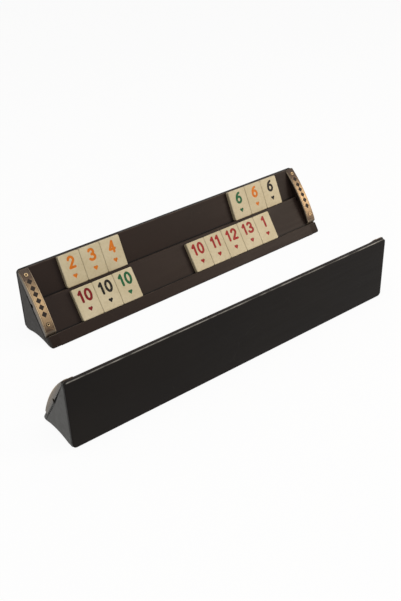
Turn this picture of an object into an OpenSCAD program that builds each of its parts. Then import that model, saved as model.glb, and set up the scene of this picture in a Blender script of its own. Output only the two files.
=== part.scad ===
// A pair of two-tier racks for number tiles, with fourteen tiles stood on the first rack.
// Each rack is a long hollow moulding with two sloping tiers, closed by a flat back panel and
// by an end cap at each end. The cap's raised cheek carries a clip-on cover, a brass name
// strip and two eyelets. The second rack stands in front of the first, turned round.

/* [Tiles] */
// Width of a tile along the rack
tile_width = 25; // [22:0.5:27]
// Height of a tile up the tier
tile_height = 34.5; // [31:0.5:38]
// Thickness of a tile
tile_thickness = 5.3; // [4:0.1:6.5]
// Radius of a tile's four corners, seen from its face
tile_corner = 1.5; // [0.8:0.1:2.5]
// Radius round the rim of a tile's face
tile_rim = 0.9; // [0.5:0.1:1.4]
// Chamfer round the back of a tile
tile_back_chamfer = 0.4; // [0.2:0.1:0.8]
// Gap between neighbouring tiles
tile_gap = 0.15; // [0.1:0.05:0.6]
// Play between a tile and the tier and ledge that hold it
tile_seat = 0.05; // [0.02:0.01:0.2]

/* [Rack section] */
// Length of a rack, end to end
rack_length = 384; // [345:1:440]
// Slope of the lower tier and of the lip's face, in degrees from the table
lower_slope = 55; // [50:0.5:60]
// Slope of the upper tier, in degrees from the table
upper_slope = 65; // [61:0.5:70]
// Depth of the ledge that a tile's foot stands on
ledge_depth = 4.2; // [3:0.1:5]
// Length of the lower tier above a tile's top
lower_headroom = 3.3; // [2.4:0.1:6]
// Length of the upper tier above a tile's top
upper_headroom = 0.3; // [0:0.1:3]
// Height of the front lip above the table
lip_height = 11.7; // [10:0.1:14]
// Radius of the lip's nose, where it meets the table
nose_radius = 1.1; // [0.8:0.1:1.6]
// Radius along the lip's top edge
lip_radius = 0.6; // [0.3:0.1:1]
// Radius in the crease at the foot of each tier
crease_radius = 0.25; // [0.1:0.05:0.6]
// Radius along the lower tier's top edge
tier_edge_radius = 0.8; // [0.3:0.1:1.2]
// Radius along the upper tier's top edge
top_edge_radius = 0.3; // [0.2:0.1:0.7]
// Depth of the flat land behind the upper tier's edge, in front of the back panel
top_land = 1.6; // [1.2:0.1:2.4]
// Wall of the long moulding
wall = 2.3; // [1.8:0.1:2.6]
// Depth of the front foot
front_foot = 6; // [4:0.5:9]
// Depth of the back foot
back_foot = 6; // [4:0.5:9]
// Rise of the shallow arch between the feet
arch_rise = 2.5; // [1.5:0.1:3.5]
// Number of stiffening ribs inside the moulding
rib_count = 3; // [1:1:7]
// Thickness of a stiffening rib
rib_thickness = 1.8; // [1.2:0.1:2.6]

/* [Back panel] */
// Thickness of the back panel
panel_thickness = 2.6; // [2:0.1:4]
// Radius of the panel's four corners, seen from behind
panel_corner = 4; // [2:0.5:7]
// Chamfer along the panel's top edge
panel_chamfer = 1.2; // [0.5:0.1:1.6]
// Radius along the panel's bottom edge
panel_bottom_radius = 2; // [1:0.1:2.6]
// Clearance between the panel's bottom edge and the table
panel_lift = 0.5; // [0.3:0.1:1.5]
// Thickness of the panel's two locating ribs
locator_thickness = 2; // [1.2:0.1:3]
// Depth that the locating ribs reach into the moulding
locator_depth = 3; // [2:0.1:5]
// Gap between the locating ribs' ends and the caps' spigots
locator_end_gap = 1; // [0.3:0.1:4]

/* [End caps] */
// Width of an end cap along the rack
cap_width = 12; // [10:0.5:16]
// Thickness of an end cap's outer plate
cap_plate = 3; // [2.4:0.1:4]
// Wall between the cheek's pocket and its inner face, and above the pocket
cheek_wall = 1.8; // [1.2:0.1:2.4]
// Radius of the cheek's arched top, over the name strip
cheek_radius = 170; // [120:1:300]
// Height of the cheek's blunt lower end above the foot of the lower tier
cheek_foot_height = 6.1; // [5.4:0.1:8]
// Slope of the cheek's blunt lower end, in degrees from the table
cheek_foot_slope = 115; // [100:1:125]
// Rise of the name strip above the rack's top at the upper tier's edge
cheek_top_rise = 0.8; // [0.5:0.1:2.5]
// Width of the seat that the cover's flange rests on
flange_seat = 1.5; // [1:0.1:2]
// Length of the cap's spigot inside the moulding
spigot_length = 5; // [3:0.5:9]
// Wall of the spigot
spigot_wall = 1.6; // [1.2:0.1:2.2]

/* [Cheek trim] */
// Thickness of the bronze cover
cover_thickness = 1.2; // [0.8:0.1:1.6]
// Radius of the release hole at the middle of the cover's chord
release_radius = 2.3; // [1.5:0.1:3]
// Thickness of the name strip
strip_thickness = 0.6; // [0.4:0.1:1]
// Bare margin of the cover beside the name strip and above it
strip_margin = 0.7; // [0.3:0.1:1.5]
// Bare margin of the cover below the name strip
strip_foot_margin = 1.4; // [0.8:0.1:3]
// Distance of an eyelet from the name strip's end
eyelet_inset = 7; // [5:0.5:12]
// Radius of an eyelet's flange
eyelet_radius = 2.3; // [1.8:0.1:3]
// Thickness of an eyelet's flange
eyelet_flange = 0.5; // [0.3:0.1:0.8]
// Radius of an eyelet's barrel
eyelet_barrel = 1.3; // [1.15:0.05:1.6]
// Radius of the hole through an eyelet
eyelet_bore = 0.9; // [0.6:0.05:1]
// Clearance between trim, caps, spigots and what they fit into
fit_gap = 0.1; // [0.05:0.05:0.25]

/* [Layout] */
// Distance of the two left groups of tiles from the left cheek
left_group_inset = 31.5; // [20:0.5:40]
// Distance of the lower right group of tiles from the right cheek
lower_right_inset = 52.4; // [42:0.5:62]
// Distance of the upper right group of tiles from the right cheek
upper_right_inset = 22.7; // [10:0.5:40]
// Distance that the second rack stands back along the first, from middle to middle
pair_shift = 60.2; // [0:0.1:120]
// Distance between the lips of the two racks, at their middles
pair_gap = 90.4; // [70:0.1:150]
// Turn of the second rack, in degrees
pair_turn = 178.7; // [175:0.1:185]

/* [Hidden] */
// Directions across a rack, as [depth, height]
function along(angle) = [cos(angle), sin(angle)];
function outward(angle) = [-sin(angle), cos(angle)];

// Key points of the section, as [depth, height], from the lip up to the rack's top edge
nose_point = [nose_radius - nose_radius / tan(lower_slope / 2), 0];
lip_edge = nose_point + lip_height / sin(lower_slope) * along(lower_slope);
lower_foot = lip_edge - ledge_depth * outward(lower_slope);
lower_edge = lower_foot + (tile_height + lower_headroom) * along(lower_slope);
upper_foot = lower_edge - ledge_depth * outward(upper_slope);
upper_edge = upper_foot + (tile_height + upper_headroom) * along(upper_slope);
front_points = [nose_point, lip_edge, lower_foot, lower_edge, upper_foot, upper_edge];
edge_radii = [
    nose_radius, lip_radius, crease_radius, tier_edge_radius, crease_radius, top_edge_radius];

rack_height = upper_edge[1];
panel_front = upper_edge[0] + top_land;
rack_depth = panel_front + panel_thickness;
half_length = rack_length / 2;
shell_half = half_length - cap_width;

// Cavity of the moulding: it follows the two tiers one wall inside, and the lip stays solid
cavity_floor = arch_rise + wall;
function inner_point(i, before, after, d) =
    front_points[i] - d / cos((after - before) / 2) * outward((after + before) / 2);
ledge_turn = upper_slope - 90;
function inner_lower_edge(d) = inner_point(3, lower_slope, ledge_turn, d);
function inner_upper_foot(d) = inner_point(4, ledge_turn, upper_slope, d);
function on_line_at_height(p, angle, z) = p + (z - p[1]) / sin(angle) * along(angle);
function on_line_at_depth(p, angle, y) = p + (y - p[0]) / cos(angle) * along(angle);
function cavity_points(inset, back) =
    let (d = wall + inset, floor_z = cavity_floor + inset)
    [on_line_at_height(inner_lower_edge(d), lower_slope, floor_z),
     inner_lower_edge(d),
     inner_upper_foot(d),
     on_line_at_depth(inner_upper_foot(d), upper_slope, back),
     [back, floor_z]];

// Cheek: the arc runs from the top of the blunt lower end to just above the upper tier's edge
arc_foot = lower_foot + cheek_foot_height * along(cheek_foot_slope);
arc_top = upper_edge + [0, cheek_top_rise];
arc_chord = norm(arc_top - arc_foot);
arc_turn = atan2(arc_top[1] - arc_foot[1], arc_top[0] - arc_foot[0]);
arc_centre = (arc_foot + arc_top) / 2
    - sqrt(pow(cheek_radius, 2) - pow(arc_chord / 2, 2)) * outward(arc_turn);
foot_angle = atan2(arc_foot[1] - arc_centre[1], arc_foot[0] - arc_centre[0]);
top_angle = atan2(arc_top[1] - arc_centre[1], arc_top[0] - arc_centre[0]);
cover_radius = cheek_radius - strip_thickness;
cover_inner_radius = cover_radius - cover_thickness;
cheek_block_radius = cover_inner_radius - fit_gap;
flange_chord = (upper_edge[0] - lower_foot[0]) / cos(lower_slope);
release_centre = lower_foot + flange_chord / 2 * along(lower_slope);

// Name strip and eyelets lie on the arc; an arc length becomes an angle here
function arc_angle(length) = length / cheek_radius * 180 / PI;
strip_foot_angle = foot_angle - arc_angle(strip_foot_margin);
strip_top_angle = top_angle + arc_angle(strip_margin);
eyelet_angles = [
    strip_foot_angle - arc_angle(eyelet_inset),
    strip_top_angle + arc_angle(eyelet_inset)];
cheek_skin = strip_thickness + cover_thickness + fit_gap + cheek_wall;

// Where the second rack stands, and the middle of the pair's own box
pair_places = [[0, 0, 0], [-pair_shift, -pair_gap, pair_turn]];
pair_corners = [
    for (place = pair_places, x = [-half_length, half_length], y = [0, rack_depth])
        [place[0] + x * cos(place[2]) - y * sin(place[2]),
         place[1] + x * sin(place[2]) + y * cos(place[2])]];
corner_x = [for (c = pair_corners) c[0]];
corner_y = [for (c = pair_corners) c[1]];
pair_middle = [(min(corner_x) + max(corner_x)) / 2, (min(corner_y) + max(corner_y)) / 2];

// Groups of tiles: tier, left edge from the rack's middle, and each tile's colour and number
tile_pitch = tile_width + tile_gap;
left_group_x = -shell_half + left_group_inset;
function right_group_x(count, inset) = shell_half - inset - count * tile_pitch + tile_gap;
tile_groups = [
    ["upper", left_group_x, ["orange_2", "orange_3", "orange_4"]],
    ["lower", left_group_x, ["maroon_10", "black_10", "green_10"]],
    ["lower", right_group_x(5, lower_right_inset), ["red_10", "red_11", "red_12", "red_13", "red_1"]],
    ["upper", right_group_x(3, upper_right_inset), ["green_6", "orange_6", "black_6"]]];

espresso = [0.24, 0.19, 0.17];
charcoal = [0.16, 0.16, 0.16];
cap_grey = [0.3, 0.3, 0.29];
bronze = [0.47, 0.4, 0.33];
brass = [0.75, 0.6, 0.38];
cream = [0.82, 0.77, 0.66];

rack_pieces = [
    "shell", "back_panel", "end_cap_left", "end_cap_right", "cheek_cover_left",
    "cheek_cover_right", "name_strip_left", "name_strip_right", "eyelets_left", "eyelets_right"];
$fn = 48;
arc_facets = 720;
corner_steps = 10;
cheek_steps = 24;
base_steps = 12;
overcut = 1;

// Lays a drawing of [depth, height] across the rack and gives it a length along the rack
module across_rack(length) {
    rotate([90, 0, 90]) linear_extrude(length) children();
}

// Rounds one corner of an outline with a short arc
function corner_arc(before, corner, after, radius) =
    let (
        a = atan2(before[1] - corner[1], before[0] - corner[0]),
        b = atan2(after[1] - corner[1], after[0] - corner[0]),
        opening = (b - a + 540) % 360 - 180,
        middle = a + opening / 2,
        half = abs(opening) / 2,
        centre = corner + radius / sin(half) * along(middle),
        sweep = 180 - abs(opening),
        side = sign(opening))
    [for (i = [0 : corner_steps])
        centre - radius * along(middle + side * sweep * (0.5 - i / corner_steps))];

// A point of the base's shallow arch, from the front foot at 0 to the back foot at 1
function arch_point(u) =
    let (
        first = nose_radius + front_foot,
        span = panel_front - back_foot - first,
        radius = pow(span, 2) / (8 * arch_rise) + arch_rise / 2,
        y = (u - 0.5) * span)
    [first + span * u, sqrt(pow(radius, 2) - y * y) - radius + arch_rise];

// Outlines of the moulding and of an end cap: rounded front edges, the back, the arched base
function rounded_front(count) =
    let (path = concat([[panel_front, 0]], front_points, [[panel_front, rack_height]]))
    [for (i = [1 : count]) each corner_arc(path[i - 1], path[i], path[i + 1], edge_radii[i - 1])];
function back_and_base() = concat(
    [[panel_front, rack_height], [panel_front, 0]],
    [for (i = [base_steps : -1 : 0]) arch_point(i / base_steps)]);
function body_outline() = concat(rounded_front(len(front_points)), back_and_base());
function cheek_corner(end_inset, chord_rise) =
    let (turn = sin(cheek_foot_slope - lower_slope))
    lower_foot + end_inset / turn * along(lower_slope) + chord_rise / turn * along(cheek_foot_slope);
function angle_on_blunt_end(radius, start) =
    let (
        w = start - arc_centre,
        b = along(cheek_foot_slope),
        reach = sqrt(pow(w * b, 2) - w * w + radius * radius) - w * b,
        p = w + reach * b)
    atan2(p[1], p[0]);
function cap_outline() =
    let (
        start = cheek_corner(cover_thickness + fit_gap, 0),
        notch_depth = upper_edge[0] + fit_gap,
        a = angle_on_blunt_end(cheek_block_radius, start),
        b = acos((notch_depth - arc_centre[0]) / cheek_block_radius))
    concat(
        rounded_front(3),
        [start],
        [for (i = [0 : cheek_steps])
            arc_centre + cheek_block_radius * along(a + (b - a) * i / cheek_steps)],
        [[notch_depth, rack_height]],
        back_and_base());

// Area of the cheek: under an arc, behind the blunt end and above the flange's straight chord
module cheek_area(radius, end_inset, chord_rise, top_inset) {
    corner = cheek_corner(end_inset, chord_rise);
    top_depth = upper_edge[0] - top_inset;
    intersection() {
        translate(arc_centre) circle(r = radius, $fn = arc_facets);
        polygon([
            corner,
            corner + cheek_radius * along(cheek_foot_slope),
            [top_depth, rack_height + cheek_radius],
            on_line_at_depth(corner, lower_slope, top_depth)]);
    }
}

// Turns a post's axis from the arc's centre through one of the eyelets' places
module at_eyelets() {
    for (angle = eyelet_angles)
        translate([cap_width / 2, arc_centre[0], arc_centre[1]])
            rotate([angle - 90, 0, 0]) translate([0, 0, cheek_radius]) children();
}

module eyelet_holes() {
    depth = cheek_skin + 2 * fit_gap;
    at_eyelets() translate([0, 0, -depth])
        cylinder(r = eyelet_barrel + fit_gap, h = depth + cheek_skin);
}

module shell() {
    color(espresso) difference() {
        translate([-shell_half, 0, 0]) across_rack(2 * shell_half) polygon(body_outline());
        translate([-shell_half - overcut, 0, 0]) across_rack(2 * (shell_half + overcut))
            polygon(cavity_points(0, panel_front + overcut));
    }
    color(espresso) for (i = [1 : rib_count])
        translate([-shell_half + 2 * shell_half * i / (rib_count + 1) - rib_thickness / 2, 0, 0])
            across_rack(rib_thickness)
                polygon(cavity_points(-wall / 4, panel_front - locator_depth - 2 * fit_gap));
}

// A flat board with rounded corners, a chamfered top edge and two ribs that find the moulding
module back_panel() {
    top_locator = on_line_at_depth(inner_upper_foot(wall), upper_slope,
        panel_front - locator_depth)[1] - fit_gap - locator_thickness;
    color(charcoal) intersection() {
        translate([0, rack_depth, 0]) rotate([90, 0, 0]) linear_extrude(panel_thickness) {
            round_at = [half_length - panel_corner, panel_corner];
            translate([-round_at[0], panel_lift]) square([2 * round_at[0], rack_height - panel_lift]);
            translate([-half_length, panel_lift + panel_corner])
                square([rack_length, rack_height - panel_lift - 2 * panel_corner]);
            for (x = [-1, 1], z = [panel_lift + panel_corner, rack_height - panel_corner])
                translate([x * round_at[0], z]) circle(r = panel_corner);
        }
        translate([-half_length, 0, 0]) across_rack(rack_length) difference() {
            polygon([
                [panel_front, 0], [panel_front, rack_height],
                [rack_depth - panel_chamfer, rack_height],
                [rack_depth, rack_height - panel_chamfer], [rack_depth, 0]]);
            translate([rack_depth - panel_bottom_radius, panel_lift]) difference() {
                translate([0, -overcut])
                    square([panel_bottom_radius + overcut, panel_bottom_radius + overcut]);
                translate([0, panel_bottom_radius]) circle(r = panel_bottom_radius);
            }
        }
    }
    locator_half = shell_half - spigot_length - locator_end_gap;
    color(charcoal) for (z = [cavity_floor + fit_gap, top_locator])
        translate([-locator_half, panel_front - locator_depth, z])
            cube([2 * locator_half, locator_depth + panel_thickness / 2, locator_thickness]);
}

// The cap closes the moulding's end. Its cheek is hollow from outside, under the cover's flange
module end_cap() {
    spigot_root = cap_width - cheek_wall;
    color(cap_grey) difference() {
        union() {
            across_rack(cap_width) polygon(cap_outline());
            translate([spigot_root, 0, 0]) across_rack(cap_width - spigot_root + spigot_length)
                polygon(cavity_points(fit_gap, panel_front - locator_depth));
        }
        translate([cap_plate, 0, 0]) across_rack(cap_width + spigot_length)
            polygon(cavity_points(fit_gap + spigot_wall, panel_front + overcut));
        translate([-overcut, 0, 0]) across_rack(cover_thickness + fit_gap + overcut)
            cheek_area(cheek_radius, cover_thickness / 2, fit_gap / 2, -fit_gap);
        translate([-overcut, 0, 0]) across_rack(cap_width - cheek_wall + overcut)
            cheek_area(cheek_block_radius - cheek_wall,
                cover_thickness + fit_gap + cheek_wall, flange_seat, cheek_wall);
        translate([-overcut, release_centre[0], release_centre[1]]) rotate([0, 90, 0])
            cylinder(r = release_radius, h = cap_plate);
        eyelet_holes();
    }
}

// Bronze cover: an arched band over the cheek with a blunt end and a flange on the outer side
module cheek_cover() {
    color(bronze) difference() {
        union() {
            across_rack(cap_width) difference() {
                cheek_area(cover_radius, 0, fit_gap, 0);
                cheek_area(cover_inner_radius, cover_thickness, -cap_width, -overcut);
            }
            across_rack(cover_thickness) cheek_area(cover_radius, 0, fit_gap, 0);
        }
        translate([-overcut, release_centre[0], release_centre[1]]) rotate([0, 90, 0])
            cylinder(r = release_radius, h = cover_thickness + 2 * overcut);
        eyelet_holes();
    }
}

// Brass strip that lies along the cover's arch
module name_strip() {
    reach = 2 * cheek_radius;
    color(brass) difference() {
        translate([strip_margin, 0, 0]) across_rack(cap_width - 2 * strip_margin) intersection() {
            difference() {
                translate(arc_centre) circle(r = cheek_radius, $fn = arc_facets);
                translate(arc_centre) circle(r = cover_radius, $fn = arc_facets);
            }
            translate(arc_centre) polygon([
                [0, 0], reach * along(strip_foot_angle), reach * along(strip_top_angle)]);
        }
        eyelet_holes();
    }
}

// Two hollow flanged pins that hold strip and cover down on the cheek
module eyelets() {
    color(brass) at_eyelets() difference() {
        union() {
            cylinder(r = eyelet_radius, h = eyelet_flange);
            translate([0, 0, -cheek_skin]) cylinder(r = eyelet_barrel, h = cheek_skin + eyelet_flange / 2);
        }
        translate([0, 0, -cheek_skin - overcut])
            cylinder(r = eyelet_bore, h = cheek_skin + eyelet_flange + 2 * overcut);
    }
}

// A tile lies here on its back, foot towards -Y: rounded corners, rounded rim, chamfered back
module tile() {
    color(cream) intersection() {
        linear_extrude(tile_thickness) {
            translate([tile_corner, 0]) square([tile_width - 2 * tile_corner, tile_height]);
            translate([0, tile_corner]) square([tile_width, tile_height - 2 * tile_corner]);
            for (x = [tile_corner, tile_width - tile_corner], y = [tile_corner, tile_height - tile_corner])
                translate([x, y]) circle(r = tile_corner);
        }
        translate([0, tile_height, 0]) rotate([90, 0, 0]) linear_extrude(tile_height)
            tile_edge(tile_width);
        rotate([90, 0, 90]) linear_extrude(tile_width) tile_edge(tile_height);
    }
}

// Side view of a tile: rounded at the face's two rims, chamfered at the back's
module tile_edge(breadth) {
    back = tile_back_chamfer;
    polygon([
        [back, 0], [breadth - back, 0], [breadth, back], [breadth, tile_thickness - tile_rim],
        [breadth - tile_rim, tile_thickness], [tile_rim, tile_thickness],
        [0, tile_thickness - tile_rim], [0, back]]);
    for (x = [tile_rim, breadth - tile_rim])
        translate([x, tile_thickness - tile_rim]) circle(r = tile_rim);
}

// Stands the children where a rack stands, with the pair's middle at the origin
module at_rack(rack) {
    place = pair_places[rack - 1];
    translate([place[0] - pair_middle[0], place[1] - pair_middle[1], 0])
        rotate([0, 0, place[2]]) children();
}

module at_left_end() {
    translate([-half_length, 0, 0]) children();
}

module at_right_end() {
    mirror([1, 0, 0]) at_left_end() children();
}

module on_tier(tier, x) {
    foot = tier == "lower" ? lower_foot : upper_foot;
    slope = tier == "lower" ? lower_slope : upper_slope;
    at_rack(1) translate([x, foot[0], foot[1]]) rotate([slope, 0, 0])
        translate([0, tile_seat, tile_seat]) children();
}

for (rack = [1, 2]) {
    name = str("rack_", rack, "_");
    at_rack(rack) shell();
    at_rack(rack) back_panel();
    at_rack(rack) at_left_end() end_cap();
    at_rack(rack) at_right_end() end_cap();
    at_rack(rack) at_left_end() cheek_cover();
    at_rack(rack) at_right_end() cheek_cover();
    at_rack(rack) at_left_end() name_strip();
    at_rack(rack) at_right_end() name_strip();
    at_rack(rack) at_left_end() eyelets();
    at_rack(rack) at_right_end() eyelets();
}

for (group = tile_groups, i = [0 : len(group[2]) - 1])
    on_tier(group[0], group[1] + i * tile_pitch) tile();
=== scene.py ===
import bpy
import numpy as np
from mathutils import Matrix


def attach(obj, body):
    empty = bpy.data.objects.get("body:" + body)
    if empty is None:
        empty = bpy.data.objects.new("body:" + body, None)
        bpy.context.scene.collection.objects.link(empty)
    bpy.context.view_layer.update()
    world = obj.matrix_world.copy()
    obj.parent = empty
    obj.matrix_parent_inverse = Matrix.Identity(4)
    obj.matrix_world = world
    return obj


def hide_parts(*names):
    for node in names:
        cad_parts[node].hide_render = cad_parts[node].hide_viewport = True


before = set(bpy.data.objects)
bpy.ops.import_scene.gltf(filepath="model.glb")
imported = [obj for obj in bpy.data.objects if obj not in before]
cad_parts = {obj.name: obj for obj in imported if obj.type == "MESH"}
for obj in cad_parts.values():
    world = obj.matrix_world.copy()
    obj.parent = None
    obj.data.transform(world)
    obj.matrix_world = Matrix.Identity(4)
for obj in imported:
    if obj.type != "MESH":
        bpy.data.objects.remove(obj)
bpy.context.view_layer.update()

# Camera: a studio camera on a tripod, in front of the pair's left end and about half a metre up,
# looking down along the rows. Its place, turn and lens come from the racks' corners in the photo.
EYE = (-0.45678, -0.57671, 0.47051)
YAW, PITCH, ROLL = 0.6625, 0.5557, -0.0382
LENS, SENSOR = 48.92, 36.0


def stand_camera(eye, yaw, pitch, roll):
    """World matrix of the camera.

    The view direction is turned by the yaw from +Y towards +X and dips by the pitch; the level
    right and up directions are then turned about it by the roll.
    """
    ahead = np.array([np.sin(yaw) * np.cos(pitch), np.cos(yaw) * np.cos(pitch), -np.sin(pitch)])
    level = np.array([np.cos(yaw), -np.sin(yaw), 0.0])
    upward = np.cross(level, ahead)
    right = np.cos(roll) * level + np.sin(roll) * upward
    top = np.cos(roll) * upward - np.sin(roll) * level
    turned = np.eye(4)
    turned[:3, 0], turned[:3, 1], turned[:3, 2], turned[:3, 3] = right, top, -ahead, eye
    return Matrix(turned.tolist())


camera = bpy.data.objects.new("camera", bpy.data.cameras.new("camera"))
camera.data.lens, camera.data.sensor_width = LENS, SENSOR
camera.data.clip_start = 0.01
camera.matrix_world = stand_camera(EYE, YAW, PITCH, ROLL)
bpy.context.scene.collection.objects.link(camera)
bpy.context.scene.camera = camera
bpy.context.scene.view_settings.view_transform = "Standard"

# Studio: a pale table top that runs out of sight under a white surround, a soft and slightly warm
# lamp at the front right, one at the front left and a long one overhead, all at a plain level.
FLOOR_HALF = 6.0
FLOOR_DROP = 0.0004
FLOOR_COLOUR = (0.86, 0.86, 0.86, 1.0)
FLOOR_GLOW = 0.93
SURROUND_LIGHT = 0.38
# place, target, width, depth, power and colour of each lamp
LAMPS = {
    "key_lamp": ((1.15, -0.85, 0.75), (0.15, 0.0, 0.03), 0.7, 0.8, 9.4, (1.0, 0.82, 0.64)),
    "front_lamp": ((-0.55, -1.3, 1.05), (-0.05, 0.02, 0.03), 0.9, 0.6, 4.8, (0.96, 1.0, 0.99)),
    "top_lamp": ((-0.1, -0.2, 1.5), (0.0, 0.0, 0.0), 1.4, 0.7, 8.6, (1.0, 1.0, 1.0)),
}


def lamp(name, place, target, width, depth, power, colour):
    """Rectangular soft lamp whose face looks at the target."""
    data = bpy.data.lights.new(name, "AREA")
    data.shape, data.size, data.size_y, data.energy = "RECTANGLE", width, depth, power
    data.color = colour
    light = bpy.data.objects.new(name, data)
    back = np.array(place) - np.array(target)
    back = back / np.linalg.norm(back)
    side = np.cross([0.0, 0.0, 1.0], back) + np.array([1e-6, 0, 0])
    side = side / np.linalg.norm(side)
    turned = np.eye(4)
    turned[:3, 0], turned[:3, 1], turned[:3, 2], turned[:3, 3] = (
        side, np.cross(back, side), back, place)
    light.matrix_world = Matrix(turned.tolist())
    bpy.context.scene.collection.objects.link(light)


for name, values in LAMPS.items():
    lamp(name, *values)

floor_mesh = bpy.data.meshes.new("table_top")
floor_mesh.from_pydata(
    [(-FLOOR_HALF, -FLOOR_HALF, -FLOOR_DROP), (FLOOR_HALF, -FLOOR_HALF, -FLOOR_DROP),
     (FLOOR_HALF, FLOOR_HALF, -FLOOR_DROP), (-FLOOR_HALF, FLOOR_HALF, -FLOOR_DROP)],
    [], [(0, 1, 2, 3)])
table_top = bpy.data.objects.new("table_top", floor_mesh)
bpy.context.scene.collection.objects.link(table_top)


def seen_directly(nodes, links):
    """1 where a camera, glossy or transmission ray arrives, and 0 for the light's own bounces."""
    path = nodes.new("ShaderNodeLightPath")
    first = nodes.new("ShaderNodeMath")
    second = nodes.new("ShaderNodeMath")
    first.operation = second.operation = "MAXIMUM"
    links.new(path.outputs["Is Camera Ray"], first.inputs[0])
    links.new(path.outputs["Is Glossy Ray"], first.inputs[1])
    links.new(first.outputs[0], second.inputs[0])
    links.new(path.outputs["Is Transmission Ray"], second.inputs[1])
    return second.outputs[0]


floor_finish = bpy.data.materials.new("table_top_white")
floor_finish.use_nodes = True
nodes, links = floor_finish.node_tree.nodes, floor_finish.node_tree.links
nodes.clear()
matt = nodes.new("ShaderNodeBsdfDiffuse")
matt.inputs["Color"].default_value = FLOOR_COLOUR
glow = nodes.new("ShaderNodeEmission")
both = nodes.new("ShaderNodeMixShader")
share = nodes.new("ShaderNodeMath")
share.operation = "MULTIPLY"
share.inputs[1].default_value = FLOOR_GLOW
links.new(seen_directly(nodes, links), share.inputs[0])
links.new(share.outputs[0], both.inputs[0])
links.new(matt.outputs[0], both.inputs[1])
links.new(glow.outputs[0], both.inputs[2])
links.new(both.outputs[0], nodes.new("ShaderNodeOutputMaterial").inputs[0])
floor_mesh.materials.append(floor_finish)

world = bpy.data.worlds.new("white_surround")
bpy.context.scene.world = world
world.use_nodes = True
nodes, links = world.node_tree.nodes, world.node_tree.links
nodes.clear()
plain, white = nodes.new("ShaderNodeBackground"), nodes.new("ShaderNodeBackground")
plain.inputs["Strength"].default_value = SURROUND_LIGHT
plain.inputs["Color"].default_value = white.inputs["Color"].default_value = (1, 1, 1, 1)
both = nodes.new("ShaderNodeMixShader")
links.new(seen_directly(nodes, links), both.inputs[0])
links.new(plain.outputs[0], both.inputs[1])
links.new(white.outputs[0], both.inputs[2])
links.new(both.outputs[0], nodes.new("ShaderNodeOutputWorld").inputs[0])

# Long mouldings: the racks' two-tier bodies, injection moulded in dark brown satin plastic, with
# a fine mould grain, light handling scratches, edges rubbed brighter along lip and tiers, and
# painted shade in the creases at the tiers' feet.
MM = 0.001
# each rack's place on the table and its turn in degrees
RACKS = {"rack_1": (30.699, 47.371, 0.0), "rack_2": (-29.501, -43.029, 178.7)}
# the long edges and inner corners of the section, as depth and height
RACK_EDGES = ((7.18, 11.7), (32.3, 40.25), (50.8, 70.0))
RACK_CREASES = ((10.62, 9.29), (36.11, 38.48))
# reach of the paler edges, wear on mouldings and caps and a painted highlight on the back panels,
# and reach of the painted shade in the creases
EDGE_WEAR, CREASE_GRIME = (0.2, 0.9), (0.9, 2.1)
SCRATCH_PALE, DUST_PALE, SCRATCH_ROUGH = 0.08, 0.05, 0.06
STREAK_RELIEF = 0.004
ESPRESSO = ((40, 29, 24), (34, 25, 21), (84, 70, 60))
# colour of the painted shade in the creases at the tiers' feet
GRIME = (11, 8, 7)


def srgb(red, green, blue):
    """Linear colour of a screen colour given in levels of 0 to 255."""
    c = np.array([red, green, blue]) / 255
    c = np.where(c <= 0.04045, c / 12.92, ((c + 0.055) / 1.055) ** 2.4)
    return (float(c[0]), float(c[1]), float(c[2]), 1.0)


def add(tree, kind, settings, *inputs):
    """Adds a shader node; the inputs are set in order, None leaving one as it is."""
    made = tree.nodes.new("ShaderNode" + kind)
    for key, value in settings.items():
        setattr(made, key, value)
    for slot, value in zip(made.inputs, inputs):
        if isinstance(value, bpy.types.NodeSocket):
            tree.links.new(value, slot)
        elif value is not None:
            slot.default_value = value
    return made


def math(tree, operation, a, b=None):
    """One sum on two values."""
    return add(tree, "Math", {"operation": operation}, a, b).outputs[0]


def noise(tree, where, scale, detail=2.0, warp=0.0):
    """Value of a noise of the given scale, about 0.5 on average."""
    made = add(tree, "TexNoise", {}, where)
    made.inputs["Scale"].default_value = scale
    made.inputs["Detail"].default_value = detail
    made.inputs["Distortion"].default_value = warp
    return made.outputs[0]


def spread(tree, value, low, high, to_low=0.0, to_high=1.0):
    """Carries low..high to to_low..to_high, held at both ends."""
    return add(tree, "MapRange", {}, value, low, high, to_low, to_high).outputs[0]


def mix(tree, share, a, b):
    """Colour a where the share is 0 and colour b where it is 1."""
    made = add(tree, "Mix", {"data_type": "RGBA"}, share)
    for slot, value in ((made.inputs[6], a), (made.inputs[7], b)):
        if isinstance(value, bpy.types.NodeSocket):
            tree.links.new(value, slot)
        else:
            slot.default_value = value
    return made.outputs[2]


def relief(tree, height, depth, under=None):
    """Bump of the given depth in metres, over another bump if one is given."""
    made = add(tree, "Bump", {}, 1.0, depth)
    tree.links.new(height, made.inputs["Height"])
    if under:
        tree.links.new(under, made.inputs["Normal"])
    return made.outputs[0]


def new_finish(name, **shader_values):
    """An empty finish: its node tree, its shader and the material."""
    finish = bpy.data.materials.new(name)
    finish.use_nodes = True
    shader = finish.node_tree.nodes["Principled BSDF"]
    for key, value in shader_values.items():
        shader.inputs[key.replace("_", " ")].default_value = value
    return finish.node_tree, shader, finish


def on_object(tree):
    """Places on the object itself, in metres."""
    return add(tree, "TexCoord", {}).outputs["Object"]


def on_rack(tree, rack):
    """Places on the rack itself, in metres: the object's coordinates moved and turned back."""
    x, y, turn = RACKS[rack]
    made = add(tree, "Mapping", {"vector_type": "TEXTURE"}, on_object(tree))
    made.inputs["Location"].default_value = (x * MM, y * MM, 0)
    made.inputs["Rotation"].default_value = (0, 0, np.radians(turn))
    return made.outputs[0]


def along_rows(tree, where, stretch):
    """Places drawn out along the rack, so that a noise read there makes streaks."""
    made = add(tree, "Mapping", {}, where)
    made.inputs["Scale"].default_value = (1 / stretch, 1, 1)
    return made.outputs[0]


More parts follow.
